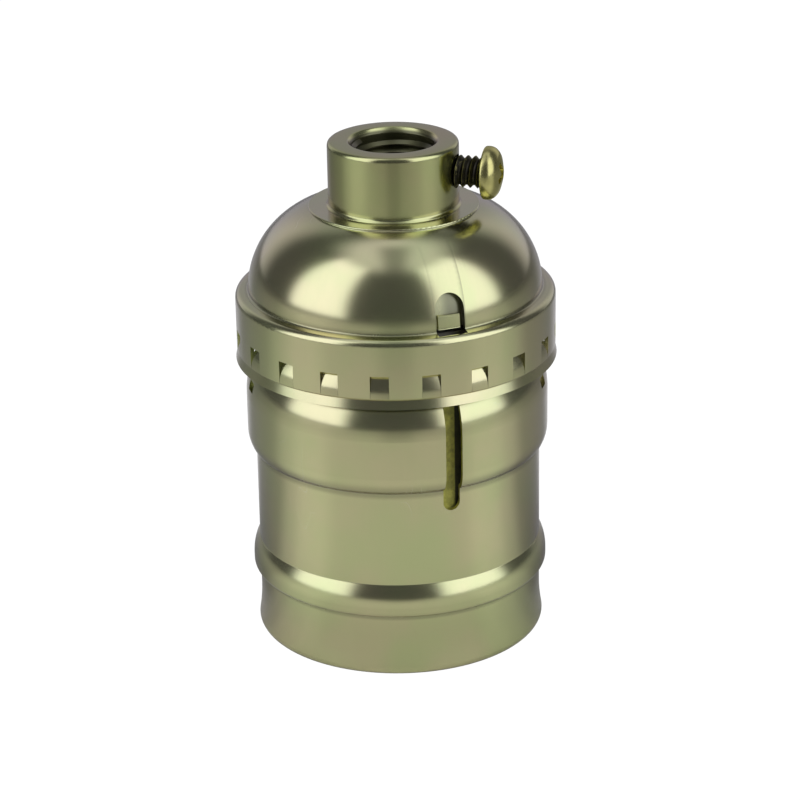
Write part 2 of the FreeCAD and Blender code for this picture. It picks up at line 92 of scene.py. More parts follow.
nodes = frame["nodes"]
cad_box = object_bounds()
MM = 0.001
print("frame:", len(nodes), "nodes, height", round((cad_box[1].z - cad_box[0].z) / MM, 2), "mm")

# %% [markdown]
# The camera stands in front and looks down by about 22 degrees from a third of a metre away with
# a long lens, as a catalogue picture is taken. It rolls by about a degree. Pointing it a little
# below the middle of the holder frames it without any lens shift.

# %% The camera
camera_data = bpy.data.cameras.new("camera")
camera_data.lens = 127.35
camera_data.sensor_width = 36
camera = bpy.data.objects.new("camera", camera_data)
bpy.context.scene.collection.objects.link(camera)
bpy.context.scene.camera = camera
camera_elevation = math.radians(22.1)
camera_distance = 350 * MM
camera_roll = math.radians(-1.0)
aim = Vector((0.33, 0, 28.93)) * MM
away = Vector((0, -math.cos(camera_elevation), math.sin(camera_elevation)))
look = (-away).to_track_quat("-Z", "Y").to_matrix() @ Matrix.Rotation(camera_roll, 3, "Z")
camera.matrix_world = Matrix.Translation(aim + away * camera_distance) @ look.to_4x4()
print("camera at", [round(value / MM) for value in camera.location], "mm")

# %% [markdown]
# Node trees read more easily as sums than as wires. `Value` wraps one output socket and lets
# Python's own operators make the Math nodes. `Tree.add` makes any other node from its type, its
# settings and what its sockets take. The same two classes serve shaders and Geometry Nodes.

# %% A small language for node trees
class Value:
    """One output socket, which can be used as a number."""

    def __init__(self, tree, socket):
        self.tree, self.socket = tree, socket

    def maths(self, operation, *values):
        return self.tree.add("ShaderNodeMath", {"operation": operation}, dict(enumerate(values)))

    def __add__(self, other): return self.maths("ADD", self, other)
    def __radd__(self, other): return self.maths("ADD", other, self)
    def __sub__(self, other): return self.maths("SUBTRACT", self, other)
    def __rsub__(self, other): return self.maths("SUBTRACT", other, self)
    def __mul__(self, other): return self.maths("MULTIPLY", self, other)
    def __rmul__(self, other): return self.maths("MULTIPLY", other, self)
    def __truediv__(self, other): return self.maths("DIVIDE", self, other)
    def __pow__(self, other): return self.maths("POWER", self, other)
    def __abs__(self): return self.maths("ABSOLUTE", self)
    def root(self): return self.maths("SQRT", self)
    def cosine(self): return self.maths("COSINE", self)
    def larger(self, other): return self.maths("MAXIMUM", self, other)
    def angle_from(self, other): return self.maths("ARCTAN2", self, other)

    def rise(self, start, end):
        """0 below start, 1 above end, and a smooth step between; start may be the larger."""
        flip = start > end
        low, high = min(start, end), max(start, end)
        ends = {"To Min": 1.0, "To Max": 0.0} if flip else {"To Min": 0.0, "To Max": 1.0}
        return self.tree.add("ShaderNodeMapRange", {"interpolation_type": "SMOOTHSTEP"},
                             {"Value": self, "From Min": low, "From Max": high, **ends})

    def band(self, start, full, still_full, end, unit=1.0):
        """1 from `full` to `still_full`, and a smooth fall to 0 at `start` and `end`."""
        return self.rise(start * unit, full * unit) * self.rise(end * unit, still_full * unit)


class Tree:
    """A node tree that is filled by calls."""

    def __init__(self, node_tree):
        self.nodes, self.links = node_tree.nodes, node_tree.links

    def add(self, kind, settings=None, inputs=None, output=0):
        node = self.nodes.new(kind)
        for name, value in (settings or {}).items():
            setattr(node, name, value)
        for name, value in (inputs or {}).items():
            if isinstance(value, Value):
                self.links.new(value.socket, node.inputs[name])
            else:
                node.inputs[name].default_value = value
        return Value(self, node.outputs[output])

    def split(self, vector):
        first = self.add("ShaderNodeSeparateXYZ", None, {"Vector": vector})
        outputs = first.socket.node.outputs
        return [Value(self, outputs[axis]) for axis in range(3)]

    def join(self, x, y, z):
        return self.add("ShaderNodeCombineXYZ", None, {"X": x, "Y": y, "Z": z})

    def noise(self, vector, scale, detail=2.0, roughness=0.5):
        return self.add("ShaderNodeTexNoise", None, {"Vector": vector, "Scale": scale, "Detail": detail,
                                                     "Roughness": roughness})

    def mix(self, share, first, second):
        """Two colours mixed; each is a Value or three numbers."""
        colours = [colour if isinstance(colour, Value) else (*colour, 1.0) for colour in (first, second)]
        return self.add("ShaderNodeMix", {"data_type": "RGBA"}, {0: share, 6: colours[0], 7: colours[1]},
                        output=2)

    def finish(self, surface, kind="ShaderNodeOutputMaterial"):
        self.links.new(surface.socket, self.nodes.new(kind).inputs["Surface"])


# %% [markdown]
# Every finish below has the same skeleton: a Principled shader whose colour, roughness and bump
# come from patterns in the object's own coordinates. The holder stands on its axis, so the most
# useful patterns are those that run round it or up it. `place_on` gives a point's coordinates and
# its distance from the axis: x and y divided by that distance are a direction with no seam.

# %% The skeleton of a finish
def new_material(name):
    material = bpy.data.materials.new(name)
    material.use_nodes = True
    material.node_tree.nodes.clear()
    return material, Tree(material.node_tree)


def principled(tree, colour, roughness, metallic=0.0, height=None, depth=0.0, **plain):
    """Finishes a material. `height` is the bump pattern and `depth` its size in metres."""
    inputs = {"Base Color": colour, "Roughness": roughness, "Metallic": metallic}
    inputs.update({name.replace("_", " "): value for name, value in plain.items()})
    if height is not None:
        inputs["Normal"] = tree.add("ShaderNodeBump", None,
                                    {"Height": height, "Distance": depth, "Strength": 1.0})
    tree.finish(tree.add("ShaderNodeBsdfPrincipled", None, inputs))


def place_on(tree):
    """A point's position on the piece, its x, y and z, and its distance from the axis."""
    position = tree.add("ShaderNodeTexCoord", output="Object")
    x, y, z = tree.split(position)
    radius = (x * x + y * y).root().larger(1e-5)
    return position, x, y, z, radius


def specks(tree, position, scale, size, share):
    """1 on small round marks: Voronoi cells whose random number is under `share`."""
    near = tree.add("ShaderNodeTexVoronoi", {"feature": "F1"}, {"Vector": position, "Scale": scale},
                    "Distance")
    lot = tree.split(Value(tree, near.socket.node.outputs["Color"]))[0]
    return near.rise(size, size * 0.5) * lot.rise(share, share * 0.9)


def hairlines(tree, vector, scale, width, share):
    """1 on fine curved scratches: where a stretched noise crosses its middle."""
    line = abs(tree.noise(vector, scale, 1.0) - 0.5)
    patch = tree.noise(vector, scale * 0.37, 0.0)
    return line.rise(width, width * 0.2) * patch.rise(1 - share, 1 - share + 0.08)


# %% [markdown]
# The shell and cap are aluminium, drawn in a press, polished, and anodised a green bronze. The
# dye sits in a clear oxide film, so the metal keeps a sharp mirror image with a faint haze, it
# looks olive face on, and it turns towards lavender at a glancing angle. Fine marks run up the
# wall where the punch drew it, and a few pits and hairlines break the shine.

# %% Bronze anodised aluminium
def anodised(name, face_on, glance, marks=1.0, turned=0.0, coat=1.0, shade=None):
    """Polished and dyed aluminium.

    `face_on` and `glance` are its colours seen straight and at a low angle, `marks` the strength
    of the drawing marks, `turned` that of a lathe's rings. `shade` is a function of (x, y, z,
    radius) that gives 1 where shade is painted: the dye is darkened there and the finish is rougher.
    """
    material, tree = new_material(name)
    position, x, y, z, radius = place_on(tree)
    upright = tree.join(x / radius, y / radius, z * 6)
    level = tree.join(x * 20, y * 20, z * 900)
    cloud = tree.noise(position, 95, 3.0)
    drawn = tree.noise(upright, 70, 4.0, 0.6)
    rings = tree.noise(level, 3.0, 3.0, 0.6)
    pits = specks(tree, position, 420, 0.09, 0.035 * marks)
    lines = hairlines(tree, tree.join(x * 2.2, y * 2.2, z), 160, 0.004, 0.3 * marks)
    warm = [value * factor for value, factor in zip(face_on, (1.06, 0.985, 1.04))]
    cool = [value * factor for value, factor in zip(face_on, (0.95, 1.015, 0.93))]
    dye = tree.mix(cloud.rise(0.32, 0.68), warm, cool)
    dye = tree.mix(drawn.rise(0.35, 0.75) * 0.10 * marks, dye, [value * 0.86 for value in face_on])
    dye = tree.mix(pits * 0.7, dye, [value * 0.25 for value in face_on])
    dye = tree.mix(lines * 0.35, dye, (0.78, 0.77, 0.66))
    haze = 0.17 + cloud.rise(0.3, 0.8) * 0.045 + drawn * 0.03 * marks + pits * 0.25 + lines * 0.1
    # Painted shade: where `shade` gives 1, the dye darkens to a quarter of its colour and the haze rises.
    if shade:
        dull = shade(x, y, z, radius)
        dye = tree.mix(dull, dye, [value * 0.25 for value in face_on])
        haze = haze + dull * 0.15
    grain = drawn * 0.35 * marks + rings * turned + tree.noise(position, 2600, 2.0) * 0.10 - pits * 1.2
    principled(tree, dye, haze, 1.0, grain, 0.004 * MM, Specular_Tint=(*glance, 1.0),
               Coat_Weight=coat, Coat_Roughness=0.16)
    return material


olive_bronze = (0.60, 0.605, 0.305)
turned_bronze = (0.55, 0.55, 0.26)
lavender = (0.74, 0.68, 0.80)
print("anodised finish ready")

# %% [markdown]
# Each function below marks where shade is painted on one piece: in its creases, in the key
# pocket and in the bore. It works in the terms of the piece's own shape: heights and distances
# from the axis in millimetres, and for the slot and the key pocket above it a frame turned to
# their azimuth.

# %% Where shade is painted
slot_azimuth = math.radians(21)
dome_radius, dome_out, dome_level = 10.6 * MM, 7.307 * MM, 44.075 * MM    # the arc of the dome
tongue_half_width, tongue_top, pocket_half_width = 1.37, 46.0, 1.95


def slot_frame(x, y):
    """Distances from the axis towards the slot, and sideways from the slot's middle."""
    sine, cosine = math.sin(slot_azimuth), math.cos(slot_azimuth)
    return x * sine - y * cosine, x * cosine + y * sine


def bore_shade(x, y, z, radius):
    """Painted shade in the bore, inside the chamfer."""
    return radius.rise(5.3 * MM, 5.05 * MM)


def shell_shade(x, y, z, radius):
    """Painted shade in the crease under the step and in the one under the bead."""
    under_step = z.band(23.1, 23.75, 23.9, 25.6, MM)
    under_bead = z.band(7.2, 7.55, 7.7, 8.1, MM)
    return (under_step * 0.42).larger(under_bead * 0.4)


def cap_shade(x, y, z, radius):
    """Painted shade on the floor and walls of the key pocket, heavier towards its right, but not on its
    tongue, and in the crease at the foot of the dome.

    `distance` is from the centre of the dome's arc: 10.6 mm on the dome itself, about 10.1 mm
    on the tongue and under 9.75 mm on the pocket's floor.
    """
    out, side = slot_frame(x, y)
    level, over = z - dome_level, out - dome_out
    distance = (level * level + over * over).root()
    beside = abs(side).rise((tongue_half_width - 0.05) * MM, (tongue_half_width + 0.05) * MM)
    above = z.rise((tongue_top - 0.05) * MM, (tongue_top + 0.1) * MM)
    walls = distance.rise(10.55 * MM, 10.45 * MM) * beside.larger(above)
    floor = distance.rise(9.98 * MM, 9.9 * MM)
    within = abs(side).rise((pocket_half_width + 0.05) * MM, (pocket_half_width - 0.05) * MM)
    pocket = floor.larger(walls) * within * out.rise(8 * MM, 9 * MM) * z.rise(44.1 * MM, 44.3 * MM)
    # Painted shade, heavier towards the pocket's right side.
    towards_right = 0.25 + side.rise(-1.7 * MM, 0.4 * MM) * 0.65
    foot = radius.band(17.6, 17.85, 18.0, 18.5, MM) * z.rise(44.9 * MM, 44.3 * MM)
    return (pocket * towards_right).larger(foot * 0.45)


nodes["outer_shell"].data.materials[0] = anodised("bronze_anodised", olive_bronze, lavender,
                                                  shade=shell_shade)
nodes["cap"].data.materials[0] = anodised("bronze_anodised_cap", olive_bronze, lavender, shade=cap_shade)
neck_skin = anodised("bronze_anodised_turned", turned_bronze, lavender, marks=0.6, turned=0.5, coat=0.4,
                     shade=bore_shade)
print("anodised finish on the shell and the cap")

# %% [markdown]
# Long thin facets run from each opening of a drawn sheet across its wall, and polished metal
# would show them as lines. So the two sheets are shaded as the round surfaces that they are: a
# corner's normal keeps to the plane through the axis, and on the dome it is the arc's own.

# %% True normals on the drawn sheets
def true_round(mesh):
    normals = [corner.vector.copy() for corner in mesh.corner_normals]
    for facet in mesh.polygons:
        for corner in facet.loop_indices:
            place = mesh.vertices[mesh.loops[corner].vertex_index].co
            radial = Vector((place.x, place.y, 0)).normalized()
            across = Vector((-radial.y, radial.x, 0))
            from_arc = place - radial * dome_out - Vector((0, 0, dome_level))
            on_dome = abs(from_arc.length - dome_radius) < 0.02 * MM and from_arc.z > 0.2 * MM
            if on_dome and facet.normal.dot(from_arc.normalized()) > 0.6:
                normals[corner] = from_arc.normalized()
            elif abs(facet.normal.dot(across)) < 0.12:
                sideways = across * normals[corner].dot(across)
                normals[corner] = (normals[corner] - sideways).normalized()
    mesh.normals_split_custom_set([tuple(normal) for normal in normals])


for sheet in ("cap", "outer_shell"):
    true_round(nodes[sheet].data)
    print(sheet, "shaded round:", len(nodes[sheet].data.polygons), "faces")

# %% [markdown]
# The neck is turned from bar. Its outline is revolved here with its corners rounded, because a
# sharp corner shows no glint. `rounded` replaces each corner of an outline by a small arc, and
# `lathe` spins the outline into a closed mesh.

# %% Turned pieces
def rounded(corners, radius, steps=5):
    """The outline with each corner cut back by `radius` and joined by a curve."""
    outline = []
    count = len(corners)
    for index, corner in enumerate(corners):
        here = Vector(corner[:2])
        cut = corner[2] if len(corner) > 2 else radius
        before, after = Vector(corners[index - 1][:2]), Vector(corners[(index + 1) % count][:2])
        reach = min(cut, (before - here).length * 0.49, (after - here).length * 0.49)
        if here.x < 1e-6 or reach < 1e-6:
            outline.append(here)
            continue
        first = here + (before - here).normalized() * reach
        last = here + (after - here).normalized() * reach
        for step in range(steps + 1):
            share = step / steps
            outline.append(first.lerp(here, share).lerp(here.lerp(last, share), share))
    return outline


def lathe(name, outline, segments=160):
    """A closed solid of revolution about Z from a closed outline of (radius, height) in mm."""
    points, rows = [], []
    for radius, height in outline:
        if radius < 1e-6:
            rows.append([len(points)] * segments)
            points.append((0, 0, height * MM))
            continue
        rows.append(list(range(len(points), len(points) + segments)))
        for step in range(segments):
            angle = 2 * math.pi * step / segments
            points.append((radius * math.cos(angle) * MM, radius * math.sin(angle) * MM, height * MM))
    faces = []
    for index, row in enumerate(rows):
        below = rows[index - 1]
        for step in range(segments):
            following = (step + 1) % segments
            corners = [below[step], below[following], row[following], row[step]]
            face = [corner for place, corner in enumerate(corners) if corner not in corners[:place]]
            if len(face) > 2:
                faces.append(face)
    mesh = bpy.data.meshes.new(name)
    mesh.from_pydata(points, [], faces)
    piece = bpy.data.objects.new(name, mesh)
    bpy.context.scene.collection.objects.link(piece)
    mesh.validate()
    outwards(piece)
    return piece


def outwards(piece):
    """Faces of a closed mesh all turned to point out."""
    work = bmesh.new()
    work.from_mesh(piece.data)
    bmesh.ops.recalc_face_normals(work, faces=work.faces)
    work.to_mesh(piece.data)
    work.free()
    piece.data.update()


def applied(piece):
    """The piece with its modifiers turned into plain mesh."""
    bpy.context.view_layer.update()
    graph = bpy.context.evaluated_depsgraph_get()
    mesh = bpy.data.meshes.new_from_object(piece.evaluated_get(graph))
    piece.modifiers.clear()
    piece.data = mesh
    return piece


def smooth(piece, degrees=35):
    for polygon in piece.data.polygons:
        polygon.use_smooth = True
    piece.data.set_sharp_from_angle(angle=math.radians(degrees))


def cut(piece, cutter):
    """Takes the cutter's shape out of the piece."""
    modifier = piece.modifiers.new("cut", "BOOLEAN")
    modifier.operation, modifier.solver, modifier.object = "DIFFERENCE", "EXACT", cutter
    applied(piece)
    bpy.data.objects.remove(cutter)
    return piece


def merged(name, pieces):
    """One mesh from several, each keeping its own closed surface and material."""
    points, faces, slots, materials = [], [], [], []
    for piece in pieces:
        start = len(points)
        points += [vertex.co.copy() for vertex in piece.data.vertices]
        for material in piece.data.materials:
            if material not in materials:
                materials.append(material)
        for polygon in piece.data.polygons:
            faces.append([start + corner for corner in polygon.vertices])
            slots.append(materials.index(piece.data.materials[polygon.material_index]))
    mesh = bpy.data.meshes.new(name)
    mesh.from_pydata(points, [], faces)
    for material in materials:
        mesh.materials.append(material)
    mesh.polygons.foreach_set("material_index", slots)
    mesh.update()
    for piece in pieces:
        bpy.data.objects.remove(piece)
    whole = bpy.data.objects.new(name, mesh)
    bpy.context.scene.collection.objects.link(whole)
    smooth(whole)
    return whole


# %% [markdown]
# A thread is one ridge that climbs round a cylinder, which Geometry Nodes make from a Spiral
# curve and a small three-cornered profile. The radius, pitch, length and height of the ridge are
# inputs of the tree, so one tree serves the neck's bore and all three screws.

# %% A thread ridge
def thread_tree():
    group = bpy.data.node_groups.new("thread ridge", "GeometryNodeTree")
    for name in ("Root radius", "Pitch", "Length", "Crest"):
        group.interface.new_socket(name, in_out="INPUT", socket_type="NodeSocketFloat")
    group.interface.new_socket("Material", in_out="INPUT", socket_type="NodeSocketMaterial")
    group.interface.new_socket("Geometry", in_out="OUTPUT", socket_type="NodeSocketGeometry")
    tree = Tree(group)
    inputs = group.nodes.new("NodeGroupInput").outputs
    root, pitch, length, crest = [Value(tree, inputs[index]) for index in range(4)]
    turns = length / pitch
    spiral = tree.add("GeometryNodeCurveSpiral", None,
                      {"Resolution": 48, "Rotations": turns, "Start Radius": root, "End Radius": root,
                       "Height": length})
    level = tree.add("GeometryNodeSetCurveNormal", {"mode": "Z_UP"}, {"Curve": spiral})
    triangle = tree.add("GeometryNodeCurvePrimitiveCircle", {"mode": "RADIUS"},
                        {"Resolution": 3, "Radius": 1.0})
    shaped = tree.add("GeometryNodeTransform", None, {
        "Geometry": triangle,
        "Scale": tree.join(crest / -1.5, pitch * 0.5, 1.0),
        "Translation": tree.join(crest / -3, 0.0, 0.0)})
    ridge = tree.add("GeometryNodeCurveToMesh", None,
                     {"Curve": level, "Profile Curve": shaped, "Fill Caps": True})
    real = tree.add("GeometryNodeRealizeInstances", None, {"Geometry": ridge})
    dressed = tree.add("GeometryNodeSetMaterial", None,
                       {"Geometry": real, "Material": Value(tree, inputs[4])})
    output = group.nodes.new("NodeGroupOutput")
    tree.links.new(dressed.socket, output.inputs[0])
    return group


ridge_tree = thread_tree()


def thread(name, material, root, pitch, bottom, top, crest):
    """A ridge from `bottom` to `top`; a negative crest points to the axis. Sizes in mm."""
    piece = bpy.data.objects.new(name, bpy.data.meshes.new(name))
    bpy.context.scene.collection.objects.link(piece)
    modifier = piece.modifiers.new("thread", "NODES")
    modifier.node_group = ridge_tree
    names = {item.name: item.identifier for item in ridge_tree.interface.items_tree}
    sizes = {"Root radius": root * MM, "Pitch": pitch * MM, "Length": (top - bottom) * MM,
             "Crest": crest * MM}
    for key, value in sizes.items():
        modifier[names[key]] = float(value)
    modifier[names["Material"]] = material
    applied(piece)
    piece.data.transform(Matrix.Translation((0, 0, bottom * MM)))
    outwards(piece)
    reach = [Vector(vertex.co[:2]).length / MM for vertex in piece.data.vertices]
    print(name, "radius", round(min(reach), 3), "to", round(max(reach), 3), "mm")
    return piece


# %% [markdown]
# The neck takes its place from the frame's own box: its foot stands on the cap, its spigot goes
# through the cap and is staked over inside. The bore has an M10 thread of 1 mm pitch, and the
# locking screw's hole is cut through the wall on the right.

# %% The neck bushing
bush_low, bush_high = [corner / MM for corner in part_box("neck_bushing")]
screw_low, screw_high = [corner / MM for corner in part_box("locking_screw")]
screw_height = (screw_low.z + screw_high.z) / 2
screw_turn = math.radians(-15)
neck_height, neck_radius = 7.9, 7.9
bore, bore_root, bore_mouth, bore_pitch, thread_sink = 4.5, 4.95, 5.45, 1.0, 0.04
spigot, stake, stake_height, cap_sheet, neck_fillet = 6.4, 7.4, 0.3, 0.5, 0.3
neck_top = bush_high.z
neck_foot = neck_top - neck_height
bushing = lathe("neck_bushing_turned", rounded([
    (bore_root, bush_low.z, 0.1), (spigot, bush_low.z, 0.25), (stake, bush_low.z + stake_height, 0.15),
    (stake, neck_foot - cap_sheet, 0.1), (spigot, neck_foot - cap_sheet, 0.05), (spigot, neck_foot, 0.05),
    (neck_radius + neck_fillet, neck_foot, 0.08), (neck_radius, neck_foot + neck_fillet, 0.15),
    (neck_radius, neck_top, 0.6), (bore_mouth, neck_top, 0.15), (bore_root, neck_top - 0.6, 0.1)], 0.1))
bushing.data.materials.append(neck_skin)
hole_radius, hole_start, hole_length = 2.05, 3, 6
hole = lathe("hole", [(0, 0), (hole_radius, 0), (hole_radius, hole_length), (0, hole_length)], 64)
across = Matrix.Rotation(screw_turn, 4, "Z") @ Matrix.Rotation(math.radians(90), 4, "Y")
hole.data.transform(Matrix.Translation((0, 0, screw_height * MM)) @ across
                    @ Matrix.Translation((0, 0, hole_start * MM)))
hole.data.materials.append(neck_skin)
cut(bushing, hole)
bore_thread = thread("bore_thread", neck_skin, bore_root + thread_sink, bore_pitch, bush_low.z + 0.3,
                     neck_top - 1.1, -(bore_root + thread_sink - bore))
bushing = merged("neck_bushing_turned", [bushing, bore_thread])
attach(bushing, "top_cap")
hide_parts("neck_bushing")
print("neck bushing:", len(bushing.data.polygons), "faces")

# %% [markdown]
# The locking screw is plated a greener gold than the holder. Its threaded shank is painted
# near black as shade in its grooves, lightened in random patches. A mask on the distance from
# the screw's own axis tells thread from head. The cross recess is cut by two tapered blades.

# %% Gilt steel and a thread painted dark as shade
screw_axis = Vector((math.cos(screw_turn), math.sin(screw_turn), 0))
head_start = 11.25


def gilt(name, gold, dark, thread_reach):
    """Gold plating, painted dark as shade behind the head where the piece is within `thread_reach` of its
    axis.
    """
    material, tree = new_material(name)
    position = tree.add("ShaderNodeTexCoord", output="Object")
    x, y, z = tree.split(position)
    aside = x * -screw_axis.y + y * screw_axis.x
    up = z - screw_height * MM
    out = (aside * aside + up * up).root()
    along = x * screw_axis.x + y * screw_axis.y
    behind_head = along.rise((head_start + 0.15) * MM, (head_start - 0.15) * MM)
    on_thread = out.rise(thread_reach * MM, (thread_reach - 0.25) * MM) * behind_head
    cloud = tree.noise(position, 420, 3.0)
    shade_breaks = tree.noise(position, 1500, 2.0)
    pits = specks(tree, position, 900, 0.12, 0.05)
    colour = tree.mix(cloud.rise(0.3, 0.7), gold, [value * 0.82 for value in gold])
    colour = tree.mix(pits * 0.8, colour, (0.10, 0.09, 0.04))
    # Painted shade: the threaded shank is darkened nearly to black, less so in random patches.
    colour = tree.mix(on_thread * (1 - shade_breaks.rise(0.58, 0.72) * 0.4), colour, dark)
    haze = 0.2 + cloud * 0.1 + on_thread * 0.15 + pits * 0.3
    principled(tree, colour, haze, 1.0, tree.noise(position, 3200, 2.0) + cloud * 2, 0.006 * MM,
               Specular_Tint=(0.8, 0.8, 0.7, 1.0))
    return material


gilt_screw = gilt("gilt_steel_screw", (0.66, 0.62, 0.24), (0.045, 0.042, 0.03), 2.1)
print("screw finish ready")

# %% [markdown]
# The screw is turned upright, with its point at the height of the bore's wall above the origin.
# Then its cross is cut, its thread is added, and the whole is laid over into its hole.

# %% The locking screw
def blade(depth, span, width, turn):
    """One tapered blade of a cross, with its mouth at z = 0 and its point below."""
    points = []
    for half, height in ((span / 2 * 1.15, 0.2), (width / 2, -depth)):
        for x, y in ((-half, -width / 2), (half, -width / 2), (half, width / 2), (-half, width / 2)):
            points.append(Vector((x, y, height)) * MM)
    mesh = bpy.data.meshes.new("blade")
    mesh.from_pydata(points, [], [(0, 1, 2, 3), (4, 5, 6, 7), (0, 1, 5, 4), (1, 2, 6, 5), (2, 3, 7, 6),
                                  (3, 0, 4, 7)])
    mesh.transform(Matrix.Rotation(math.radians(turn), 4, "Z"))
    mesh.materials.append(gilt_screw)
    piece = bpy.data.objects.new("blade", mesh)
    bpy.context.scene.collection.objects.link(piece)
    outwards(piece)
    return piece


screw_standoff, screw_core, head_radius, head_height = 3.3, 1.58, 3.2, 2.25
head_seat = neck_radius + screw_standoff
tip = bore + 0.05
body = lathe("screw_body", rounded([
    (0, tip), (1.3, tip, 0.05), (screw_core, tip + 0.45, 0.05), (screw_core, head_seat, 0.1),
    (head_radius, head_seat, 0.3), (head_radius, head_seat + 1.0, 0.5), (2.55, head_seat + 1.72, 0.6),
    (0.9, head_seat + 2.2, 0.5), (0, head_seat + 2.24)], 0.1), 96)
body.data.materials.append(gilt_screw)
for turn in (30, 120):
    tool = blade(depth=1.3, span=3.3, width=0.75, turn=turn)
    tool.data.transform(Matrix.Translation((0, 0, (head_seat + head_height) * MM)))
    cut(body, tool)
shank_thread = thread("shank_thread", gilt_screw, root=1.55, pitch=0.9, bottom=tip + 0.5,
                      top=head_seat - 0.2, crest=0.4)
locking_screw = merged("locking_screw_threaded", [body, shank_thread])
locking_screw.data.transform(Matrix.Translation((0, 0, screw_height * MM)) @ across)
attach(locking_screw, "side_screw")
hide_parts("locking_screw")
print("locking screw:", len(locking_screw.data.polygons), "faces")

# %% [markdown]
# The screw shell is thin aluminium with the lamp's round thread rolled into it. It is a surface
# that follows a rule, so a cylinder of many faces goes through Geometry Nodes: each point moves
# in or out by a cosine of its height and its angle, and the wave fades at both ends. A Solidify
# modifier then gives the sheet its thickness.

# %% The rolled screw shell
shell_low, shell_high = [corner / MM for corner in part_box("screw_shell")]
thread_pitch, thread_outer, thread_inner, thread_lead = 3.629, 13.3, 12.25, 1.8
shell_sheet, floor_opening, floor_radius = 0.35, 6.7, 13.6
thread_top = shell_high.z - shell_sheet


def rolled_tree():
    group = bpy.data.node_groups.new("rolled thread", "GeometryNodeTree")
    for name in ("Pitch", "Outer radius", "Depth", "Bottom", "Top", "Lead"):
        group.interface.new_socket(name, in_out="INPUT", socket_type="NodeSocketFloat")
    group.interface.new_socket("Material", in_out="INPUT", socket_type="NodeSocketMaterial")
    group.interface.new_socket("Geometry", in_out="OUTPUT", socket_type="NodeSocketGeometry")
    tree = Tree(group)
    inputs = group.nodes.new("NodeGroupInput").outputs
    pitch, outer, depth, bottom, top, lead = [Value(tree, inputs[index]) for index in range(6)]
    tube = tree.add("GeometryNodeMeshCylinder", {"fill_type": "NONE"},
                    {"Vertices": 160, "Side Segments": 150, "Radius": outer, "Depth": top - bottom})
    x, y, z = tree.split(tree.add("GeometryNodeInputPosition"))
    height = z + (bottom + top) / 2
    wave = (height * (2 * math.pi) / pitch - y.angle_from(x)).cosine()
    fade_in = tree.add("ShaderNodeMapRange", {"interpolation_type": "SMOOTHSTEP"},
                       {"Value": height - bottom, "From Min": 0.0, "From Max": lead})
    fade_out = tree.add("ShaderNodeMapRange", {"interpolation_type": "SMOOTHSTEP"},
                        {"Value": top - height, "From Min": 0.0, "From Max": lead})
    share = (outer - depth * (1 - wave) * 0.5 * fade_in * fade_out) / outer
    moved = tree.add("GeometryNodeSetPosition", None,
                     {"Geometry": tube, "Position": tree.join(x * share, y * share, height)})
    real = tree.add("GeometryNodeRealizeInstances", None, {"Geometry": moved})
    dressed = tree.add("GeometryNodeSetMaterial", None,
                       {"Geometry": real, "Material": Value(tree, inputs[6])})
    output = group.nodes.new("NodeGroupOutput")
    tree.links.new(dressed.socket, output.inputs[0])
    return group


def rolled_aluminium():
    material, tree = new_material("rolled_aluminium")
    position, x, y, z, radius = place_on(tree)
    rolling = tree.noise(tree.join(x * 8, y * 8, z * 700), 3.0, 3.0)
    cloud = tree.noise(position, 160, 3.0)
    crest = radius.rise(12.9 * MM, 12.4 * MM)
    rub = crest * tree.noise(tree.join(x / radius, y / radius, z * 30), 40, 3.0).rise(0.4, 0.65)
    lines = hairlines(tree, tree.join(x, y, z * 4), 260, 0.006, 0.35)
    colour = tree.mix(cloud.rise(0.3, 0.7), (0.80, 0.80, 0.79), (0.70, 0.70, 0.69))
    colour = tree.mix(rub * 0.5, colour, (0.56, 0.54, 0.49))
    haze = 0.24 + cloud * 0.10 + rub * 0.22 + lines * 0.2
    principled(tree, colour, haze, 1.0, rolling + rub * 2 + lines * 2, 0.004 * MM)
    return material


rolled = rolled_aluminium()
screw_shell = bpy.data.objects.new("screw_shell_rolled", bpy.data.meshes.new("screw_shell_rolled"))
bpy.context.scene.collection.objects.link(screw_shell)
roll = screw_shell.modifiers.new("roll", "NODES")
roll.node_group = rolled_tree()
keys = {item.name: item.identifier for item in roll.node_group.interface.items_tree}
for name, value in {"Pitch": thread_pitch, "Outer radius": thread_outer,
                    "Depth": thread_outer - thread_inner, "Bottom": shell_low.z, "Top": thread_top,
                    "Lead": thread_lead}.items():
    roll[keys[name]] = float(value * MM)
roll[keys["Material"]] = rolled
applied(screw_shell)
outwards(screw_shell)
wall = screw_shell.modifiers.new("wall", "SOLIDIFY")
wall.thickness, wall.offset = shell_sheet * MM, 1.0
applied(screw_shell)
floor_disc = lathe("floor_disc", rounded([
    (floor_opening, thread_top, 0.08), (floor_radius, thread_top, 0.05),
    (floor_radius, shell_high.z, 0.15), (floor_opening, shell_high.z, 0.08)], 0.1), 160)
floor_disc.data.materials.append(rolled)
screw_shell = merged("screw_shell_rolled", [screw_shell, floor_disc])
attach(screw_shell, "base")
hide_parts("screw_shell")
print("screw shell:", len(screw_shell.data.polygons), "faces")
